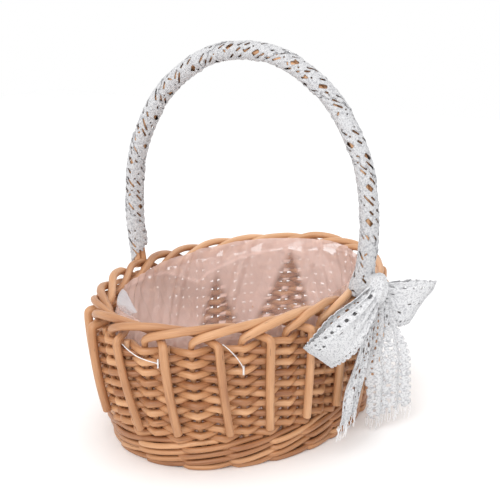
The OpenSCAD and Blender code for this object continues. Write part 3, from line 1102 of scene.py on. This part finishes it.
@dataclass
class Bow:
    """Lace ribbon tied round the hoop's foot: knot, two loops and two hanging ends.

    Attributes:
        wall: Shape of the wall that it hangs against.
        maker: Sweeps the loose threads.
        finishes: Materials.
        pattern: Holes of the ribbon.
    """

    wall: Wall
    maker: RodMaker
    finishes: Finishes
    pattern: LacePattern = LacePattern()
    turn: float = math.radians(-1.5)

    def __post_init__(self) -> None:
        """Work out the knot's place."""
        step = self.wall.step(self.wall.foot_index) + 179
        spot = self.wall.point(step, self.wall.height, 19.1 * MM)
        self.centre = spot + np.array([0, 0, 12 * MM])
        self.across = np.array([math.cos(self.turn), math.sin(self.turn), 0.0])
        self.outward = np.array([math.sin(self.turn), -math.cos(self.turn), 0.0])

    def place(self, x: np.ndarray, out: np.ndarray, up: np.ndarray) -> np.ndarray:
        """Points in space of places along the rim, outward and above the knot, in metres."""
        x, out, up = np.broadcast_arrays(x, out, up)
        return (self.centre + x[..., None] * self.across + out[..., None] * self.outward
                + up[..., None] * np.array([0.0, 0.0, 1.0]))

    def knot(self) -> bpy.types.Object:
        """Band of gathered ribbon pulled round the middle of the bow.

        Returns:
            The knot's object.
        """
        rows, cols = 40, 56
        v = np.linspace(0, np.pi, rows)[:, None]
        u = np.linspace(0, 2 * np.pi, cols, endpoint=False)[None, :]
        pleat = 1 + 0.075 * np.cos(9 * u + 2.2 * np.cos(v)) * np.sin(v) ** 0.5
        body = np.sin(v) ** 0.62 * pleat
        x = 9.3 * MM * body * np.cos(u) + 1.2 * MM * np.cos(v)
        out = 7.4 * MM * body * np.sin(u)
        up = 10.8 * MM * np.cos(v) + 0.9 * MM * np.cos(3 * u) * np.sin(v)
        cut = pairs(u * 9 * MM, v * 12 * MM)
        points = self.place(x, out, up)
        piece = ClothGrid(points, cut).make("bow_knot_wrap", self.finishes.lace, around=True)
        weld(piece)
        rounder = piece.modifiers.new("round", "SUBSURF")
        rounder.levels = rounder.render_levels = 1
        return settle(piece, Slot.LACE, "bow_knot")

    def loop(self, side: Side, reach: float, drop: float, swing: float,
             name: str, node: str) -> bpy.types.Object:
        """One loop: out from the knot, folded at its far edge, and back behind.

        Args:
            side: Which side of the knot it is on.
            reach: Distance along the rim to the far edge's middle.
            drop: How much lower that middle is than the knot.
            swing: Angle by which it points away from the wall.
            name: Name of the piece.
            node: CAD node that it stands for.

        Returns:
            The loop.
        """
        cell, n = self.pattern.cell, self.pattern.columns
        length = math.hypot(reach, drop)
        rows = round(2 * length / cell)
        u = np.linspace(-1, 1, rows + 1)[:, None]
        v = (np.arange(n + 1) / n - 0.5)[None, :]
        away = 1 - np.abs(u)
        dist = np.sin(away * np.pi / 2) ** 0.9
        dist = np.where(np.abs(u) < 1, dist, 0)
        open_ = 0.38 + 0.62 * smooth(dist * 1.5)
        width = self.pattern.width * open_
        axis = np.array([side.value * reach, -drop]) / length
        normal = np.array([-axis[1], axis[0]]) * side.value
        sag = -5 * MM * np.sin(np.pi * dist) * (1 - 0.4 * v)
        far = dist * length * (1 + 0.28 * v)
        x = axis[0] * far + normal[0] * v * width
        up = axis[1] * far + normal[1] * v * width + sag
        belly = 2.6 * MM * np.sin(np.pi * np.minimum(dist, 1) ** 0.8) + 0.8 * MM
        pleat = 2.1 * MM * (1 - smooth(dist * 1.15)) * np.cos(2 * np.pi * (3.2 * v + 0.2))
        ripple = 0.9 * MM * wander(v * 7 + dist * 3, 2.0 + side.value) * smooth(dist * 2)
        face = np.where(u < 0, 1.0, -1.0) * np.abs(np.sign(u))
        out = face * belly * (1 - smooth((dist - 0.9) / 0.1) * 0.85) + pleat + ripple
        ahead = (np.abs(x) - 8 * MM) * (np.abs(x) > 8 * MM)
        out = out + ahead * math.sin(swing)
        x = x - np.sign(x) * ahead * (1 - math.cos(swing))
        points = self.place(x, out, up)
        cut = pairs(u * length, v * self.pattern.width)
        keep = self.pattern.keep(rows, seed=SEED + 5 + side.value)
        piece = ClothGrid(points, cut, keep).make(name, self.finishes.lace)
        thicken(piece, 0.6 * MM, 1)
        settle(piece, Slot.LACE, node)
        return piece

    def tail(self, top: float, bottom: float, width: float, drop: float, net: float,
             swing: float, name: str, node: str) -> bpy.types.Object:
        """One hanging end, from under the knot to its frayed cut.

        Args:
            top: Place along the rim of its top.
            bottom: Place along the rim of its cut end.
            width: Width that it hangs at, with its folds.
            drop: Depth of the cut end below the knot.
            net: Share of its middle that is open net.
            swing: Angle by which its width turns out from the wall.
            name: Name of the piece.
            node: CAD node that it stands for.

        Returns:
            The hanging end.
        """
        cell, n = self.pattern.cell, self.pattern.columns
        length = math.hypot(drop - 8 * MM, bottom - top)
        rows = round(length / cell)
        u = np.linspace(0, 1, rows + 1)[:, None]
        v = (np.arange(n + 1) / n - 0.5)[None, :]
        spread = 0.30 + 0.70 * smooth(u * 1.7)
        x = top + (bottom - top) * u ** 1.1 + v * width * spread * math.cos(swing)
        x = x + 1.2 * MM * wander(u * 6 + v * 2, net + 1)
        slant = 9 * MM * v * u * (1 if net > 0.3 else -1)
        up = -8 * MM - (drop - 8 * MM) * u + slant + 1.5 * MM * wander(v * 9, 3 + net) * u
        fold = 2.1 * MM * (0.6 + 0.4 * u) * np.cos(2 * np.pi * (2.4 * v + 0.15 * u + net))
        out = 2.2 * MM + fold - 3.0 * MM * u + 0.8 * MM * wander(u * 8 + v * 5, 5 + net)
        out = out + (v + 0.35) * width * spread * math.sin(swing)
        points = self.place(x, out, up)
        cut = pairs(u * length, v * self.pattern.width)
        keep = self.pattern.keep(rows, open_net=net, seed=SEED + 9)
        chance = np.random.default_rng(SEED + 20)
        for column in range(n):
            keep[rows - int(chance.integers(0, 4)):, column] = False
        piece = ClothGrid(points, cut, keep).make(name, self.finishes.lace)
        thicken(piece, 0.6 * MM, 1)
        settle(piece, Slot.LACE, node)
        threads = self._threads(points[-1], chance, name + "_threads")
        return piece

    def _threads(self, edge: np.ndarray, chance: np.random.Generator,
                 name: str) -> bpy.types.Object:
        """Loose threads that hang from a cut edge.

        Args:
            edge: Points along the cut edge.
            chance: Source of the random draws.
            name: Name of the object.

        Returns:
            The threads as one object.
        """
        rods = []
        for spot in edge:
            length = (3 + 6 * chance.random()) * MM
            down = np.linspace(-3.5 * MM, length, 7)
            sway = (down / length) ** 2 * 2.5 * MM * chance.normal()
            points = spot + np.outer(sway, self.across) - np.outer(down, [0, 0, 1])
            points = points + np.outer(0.4 * MM * wander(down * 900, chance.random() * 9),
                                       self.outward)
            rods.append(Rod(points, 0.28 * MM, 0.9))
        piece = self.maker.make(name, rods, self.finishes.lace, sides=5)
        return settle(piece, Slot.LACE)

    def build(self) -> None:
        """Make every part of the bow."""
        self.knot()
        self.loop(Side.LEFT, 71 * MM, 31 * MM, math.radians(-7), "bow_loop_near", "bow_loop_left")
        self.loop(Side.RIGHT, 45 * MM, 17 * MM, math.radians(30), "bow_loop_far", "bow_loop_right")
        self.tail(-7 * MM, -38 * MM, 27 * MM, 86 * MM, 0.35, 0.0, "bow_end_near", "bow_tail_left")
        self.tail(4 * MM, 13 * MM, 33 * MM, 97 * MM, 0.6, math.radians(36), "bow_end_far",
                  "bow_tail_right")


@dataclass
class Liner:
    """Film bag that lines the basket, with the pins that hold it.

    Attributes:
        wall: Shape of the wall that it lies against.
        maker: Sweeps the pins.
        finishes: Materials.
    """

    wall: Wall
    maker: RodMaker
    finishes: Finishes
    offset: float = -9.0 * MM
    floor: float = 14.6 * MM
    columns: int = 330

    def bag(self) -> bpy.types.Object:
        """Make the bag: a creased wall that turns in over the base.

        Returns:
            The bag's object.
        """
        rows_wall, rows_floor, cols = 64, 24, self.columns
        t = np.arange(cols)[None, :] * 360.0 / cols
        v = np.linspace(0, 1, rows_wall)[:, None]
        top = self.wall.height + 6.8 * MM + 0.8 * MM * wander(np.radians(t) * 3.0, 2.0)
        top = top + 2.3 * MM * np.cos(np.radians(t - 30))
        z = top + (self.floor - top) * v
        turn = np.radians(t)
        tuck = 3.4 * MM * wander(turn * 5 + v * 1.4, 3.0) * (1 - 0.55 * v)
        crease = 1.5 * MM * np.abs(wander(turn * 16 - v * 5, 6.0)) * (1 - 0.5 * v)
        fine = 0.5 * MM * wander(turn * 42 + v * 19, 8.0)
        off = self.offset - 1.6 * MM * smooth(1 - v * 9) - np.abs(tuck) * 0.9 - crease + fine
        upper = self.wall.point(t + 0 * v, np.minimum(z, self.wall.height), off)
        upper[..., 2] = z
        ring = upper[-1]
        shrink = np.linspace(1, 0, rows_floor + 1)[1:, None, None]
        lower = ring[None] * shrink
        lower[..., 2] = self.floor + 0.8 * MM * wander(turn * 4 + shrink[..., 0] * 9, 4.0)
        points = np.vstack([upper, lower])
        rows = len(points)
        depth = np.concatenate([v[:, 0], np.linspace(1, 1.6, rows_floor)])[:, None]
        around = (t + 180) % 360 - 180
        haze = 0.68 - 0.05 * smooth((around - 60) / 30) + 0.08 * wander(turn * 3.0 + depth * 3, 1.0)
        haze = haze + 0.12 * smooth(3.5 * wander(turn * 2.2 + depth * 5, 4.0) - 0.6)
        fold = np.interp(around, (-180, -60, -13, 21, 25, 39, 55, 67, 87, 106, 125, 180),
                         (0.03, 0.05, 0.06, 0.07, 0.11, 0.15, 0.21, 0.30, 0.12, 0.06, 0.03, 0.03))
        haze = haze + 0.08 * smooth((fold - depth) / 0.03 + 0.5)
        haze = haze + 0.22 * np.exp(-((depth - fold) / 0.014) ** 2)
        # Painted highlights: short streaks of whiter film over the weave rows at the uprights, kept
        # cloudier inside the clear vees.
        painted_highlight = smooth((np.cos(np.pi * (points[..., 2] / self.wall.row_height)) - 0.45) / 0.4)
        painted_highlight = painted_highlight * smooth(np.cos(np.radians((t - self.wall.first_stake) * 44)) * 1.4 + 0.1)
        for centre, reach, start, clear in ((56, 22, 0.22, 0.42), (18, 21, 0.02, 0.50)):
            away = np.abs((t - centre + 180) % 360 - 180) / reach
            vee = smooth(4.0 * (np.minimum(1.15 * depth - start, 1.1) - away))
            haze = haze - vee * (clear - 0.85 * painted_highlight * (0.8 + 0.5 * wander(turn * 21, 3.0)))
        haze = np.clip(haze, 0.08, 0.92)
        cut = pairs(turn * 110 * MM, np.linspace(0, 0.16, rows)[:, None])
        piece = ClothGrid(points, cut, extra={"haze": haze}).make(
            "liner_film", self.finishes.film, around=True)
        weld(piece)
        settle(piece, Slot.FILM, "liner")
        return piece

    def flap(self) -> bpy.types.Object:
        """Doubled corner of film folded down over the rim's inside at the near end, in a darker
        copy of the film finish as painted shade.

        Returns:
            The flap's object.
        """
        rows, cols = 14, 20
        u = np.linspace(0, 1, rows)[:, None]
        v = np.linspace(0, 1, cols)[None, :]
        t = 131 + 38 * v
        width = np.interp(v, (0.0, 0.35, 1.0), (0.25, 1.0, 0.10))
        z = self.wall.height + 6.4 * MM - u * 10 * MM * width
        off = self.offset - 2.6 * MM - 14 * MM * u * width + 0.3 * MM * wander(u * 5 + v * 8, 3.0)
        points = self.wall.point(t + 0 * u, np.minimum(z, self.wall.height), off)
        points[..., 2] = z + 0 * v
        cut = pairs(v * 60 * MM, u * 30 * MM)
        haze = np.full((rows, cols), 0.88)
        piece = ClothGrid(points, cut, extra={"haze": haze}).make(
            "liner_flap", self.finishes.shaded_doubled_film)
        settle(piece, Slot.FILM)
        return piece

    def pins(self) -> None:
        """Make the fine pins: a thread over the weave with a small bar at its end."""
        rods = []
        for i in range(6):
            t = float(self.wall.step(2 * (3 * i + 1 + (i == 3))))
            ends = [(t - 6.8, 95 * MM, 5.5), (t - 5.2, 92 * MM, 8.6), (t - 3.0, 86 * MM, 9.2),
                    (t - 1.4, 80 * MM, 8.8), (t - 0.8, 76 * MM, 8.0)]
            if i == 3:
                ends = [(t - 7.0, 92 * MM, 6.5), (t - 4.0, 90 * MM, 8.4), (t - 0.5, 87 * MM, 9.2),
                        (t + 3.0, 85 * MM, 9.0), (t + 6.0, 83 * MM, 7.4)]
            path = spline([list(self.wall.point(a, z, off * MM)) for a, z, off in ends], 6)
            rods.append(Rod(path, 0.34 * MM, 1.0))
            bar = np.stack([path[-1] + d * np.array([0, 0, 1.0]) for d in (-3 * MM, 0, 3 * MM)])
            rods.append(Rod(bar, 0.62 * MM, 1.0))
        settle(self.maker.make("liner_pins", rods, self.finishes.nylon, sides=8),
               Slot.NYLON, "tag_pins")

    def build(self) -> None:
        """Make the film and its pins."""
        self.bag()
        self.flap()
        self.pins()


# ---- studio ----------------------------------------------------------------------------


@dataclass(frozen=True)
class Studio:
    """Pale floor, soft lights and the camera."""

    camera_turn: float = math.radians(-58.56)
    camera_height_angle: float = math.radians(16.4)
    camera_distance: float = 0.7864
    tilt_up: float = math.radians(1.70)
    pan: float = math.radians(-0.25)
    aim_height: float = 0.1
    lens: float = 75.33
    floor_half_side: float = 1.7

    @staticmethod
    def seat(turn: float, height: float, distance: float) -> tuple[float, float, float]:
        """Offset at an angle round the basket, an angle above the floor and a distance."""
        flat = math.cos(height) * distance
        return math.sin(turn) * flat, -math.cos(turn) * flat, math.sin(height) * distance

    def camera(self) -> None:
        """Place the camera."""
        data = bpy.data.cameras.new("camera")
        data.lens = self.lens
        data.sensor_width = 36
        data.clip_end = 50
        camera = show("camera", data)
        x, y, z = self.seat(self.camera_turn, self.camera_height_angle, self.camera_distance)
        camera.location = (x, y, self.aim_height + z)
        camera.rotation_euler = (math.pi / 2 - self.camera_height_angle + self.tilt_up, 0,
                                 self.camera_turn + self.pan)
        bpy.context.scene.camera = camera

    def light(self, name: str, turn: float, height: float, distance: float, size: float,
              power: float) -> None:
        """Add a soft square light aimed at the basket.

        Args:
            name: Name of the light.
            turn: Degrees round from the camera, positive to the camera's right.
            height: Degrees above the floor.
            distance: Distance from the basket.
            size: Side of the light.
            power: Its power in watts.
        """
        data = bpy.data.lights.new(name, "AREA")
        data.size = size
        data.energy = power
        lamp = show(name, data)
        a, e = self.camera_turn + math.radians(turn), math.radians(height)
        x, y, z = self.seat(a, e, distance)
        lamp.location = (x, y, self.aim_height + z)
        lamp.rotation_euler = (math.pi / 2 - e, 0, a)

    def floor(self) -> None:
        """Add the pale floor."""
        s = Shader("pale_floor")
        place = s.add("TexCoord").outputs["Object"]
        tone = s.ramp(s.noise(place, 3.0, 2.0), [(0.3, (0.965,) * 3), (0.7, (0.975,) * 3)])
        material = s.finish(Base_Color=tone, Roughness=0.9)
        mesh = bpy.data.meshes.new("floor")
        half = self.floor_half_side
        mesh.from_pydata([(-half, -half, 0), (half, -half, 0), (half, half, 0), (-half, half, 0)],
                         [], [(0, 1, 2, 3)])
        mesh.materials.append(material)
        show("floor", mesh)

    def build(self) -> None:
        """Set up the whole studio."""
        self.camera()
        self.floor()
        self.light("key", -16, 38, 1.5, 0.8, 8)
        self.light("top", -20, 80, 1.4, 0.7, 3)
        self.light("back", 160, 40, 1.6, 0.8, 2)
        world = bpy.data.worlds.new("studio")
        world.use_nodes = True
        world.node_tree.nodes["Background"].inputs["Color"].default_value = (1, 1, 1, 1)
        world.node_tree.nodes["Background"].inputs["Strength"].default_value = 1.0
        bpy.context.scene.world = world
        bpy.context.scene.view_settings.view_transform = "Standard"


def main() -> None:
    """Build the basket and its studio."""
    logging.basicConfig(level=logging.INFO, format="%(name)s %(message)s")
    finishes, maker, wall = build_finishes(), RodMaker(), Wall()
    Studio().build()
    WillowWork(wall, maker, finishes).build()
    Hoop(wall, maker, finishes).build()
    Bow(wall, maker, finishes).build()
    Liner(wall, maker, finishes).build()


if __name__ == "__main__":
    main()
